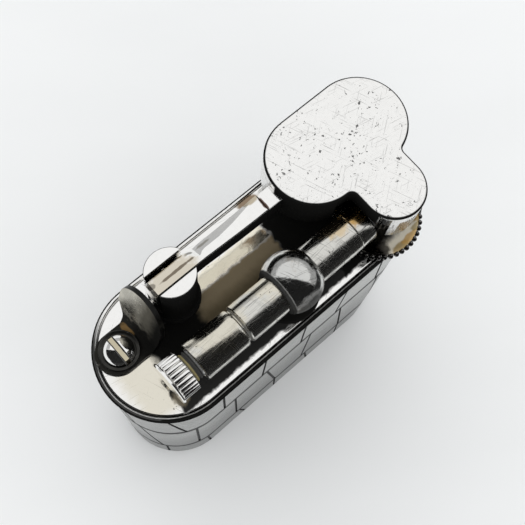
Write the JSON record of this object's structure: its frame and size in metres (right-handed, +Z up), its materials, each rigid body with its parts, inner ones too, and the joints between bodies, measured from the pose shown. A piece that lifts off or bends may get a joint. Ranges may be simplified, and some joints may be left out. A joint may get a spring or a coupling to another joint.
{
  "type": "cigarette lighter",
  "caption": "Lift-arm petrol pocket lighter: oblong tank engraved with brickwork, hinged snuffer cap, horizontal flint tube with ball pillar, and a beaded thumb wheel.",
  "frame": {"origin": "middle of the flat underside of the tank", "axes": "+Z up out of the top plate; +X along the tank from the spring end to the snuffer cap; +Y across the tank, away from the flint tube"},
  "size_m": [0.039, 0.0163, 0.0424],
  "materials": {
    "satin_silver": "satin, hand-engraved",
    "dark_silver": "polished, tarnished dark",
    "polished_silver": "polished, lightly tarnished",
    "bright_silver": "worn bright with fine scratches",
    "gilt_tarnish": "yellowed silver plate over brass",
    "brass": "bare, dull",
    "spring_steel": "polished",
    "tool_steel": "dark",
    "flint_alloy": "matte",
    "wadding": "loose cotton",
    "wick": "woven cotton cord",
    "leather": "plain"
  },
  "bodies": {
    "case": {"case_shell": "satin_silver", "rim_bead": "dark_silver", "top_plate": "polished_silver", "base_plate": "satin_silver", "filler_bush": "brass", "wadding": "wadding", "wick": "wick", "wick_tube": "brass", "wick_nut": "brass", "windscreen": "dark_silver", "hinge_post": "polished_silver", "hinge_pin": "tool_steel", "heel_spring": "spring_steel", "spring_screw": "bright_silver", "dished_washer": "dark_silver", "ball_pillar": "polished_silver", "flint_tube": "polished_silver", "wheel_axle": "tool_steel", "axle_washer": "brass"},
    "snuffer": {"snuffer_arm": "bright_silver", "snuffer_cap": "bright_silver", "cap_seal": "leather"},
    "wheels": {"thumb_wheel": "gilt_tarnish", "spark_wheel": "tool_steel"},
    "flint_train": {"flint_pusher": "brass", "flint": "flint_alloy"},
    "flint_feed": {"flint_spring": "spring_steel"},
    "flint_screw": {"flint_screw": "gilt_tarnish"},
    "filler_seal": {"filler_washer": "leather"},
    "filler_screw": {"filler_screw": "brass"}
  },
  "joints": [
    {"name": "snuffer_lift", "type": "hinge", "parent": "case", "child": "snuffer", "pos_m": [-0.00865, 0.0034, 0.0393], "axis": [0, -1, 0], "range_deg": [0, 100]},
    {"name": "wheel_spin", "type": "hinge", "parent": "case", "child": "wheels", "pos_m": [0.012, -0.0035, 0.038], "axis": [0, 0, 1], "continuous": true},
    {"name": "flint_push", "type": "slide", "parent": "case", "child": "flint_train", "axis": [-1, 0, 0], "range_m": [0, 0.0008], "stiffness_N_per_m": 300, "springref_m": -0.003, "deforming": ["flint_spring"]},
    {"name": "flint_screw_out", "type": "slide", "parent": "case", "child": "flint_feed", "axis": [-1, 0, 0], "range_m": [0, 0.0028]},
    {"name": "flint_screw_turn", "type": "hinge", "parent": "flint_feed", "child": "flint_screw", "pos_m": [-0.0135, -0.0035, 0.038], "axis": [-1, 0, 0], "range_deg": [0, 2525]},
    {"name": "filler_screw_out", "type": "slide", "parent": "case", "child": "filler_seal", "axis": [0, 0, -1], "range_m": [0, 0.0028]},
    {"name": "filler_screw_turn", "type": "hinge", "parent": "filler_seal", "child": "filler_screw", "pos_m": [-0.008, 0, 0.002], "axis": [0, 0, -1], "range_deg": [0, 2020]}
  ],
  "couplings": [
    {"joint": "flint_screw_turn", "follows": "flint_screw_out", "rad_per_m": 15708},
    {"joint": "filler_screw_turn", "follows": "filler_screw_out", "rad_per_m": 12566}
  ]
}
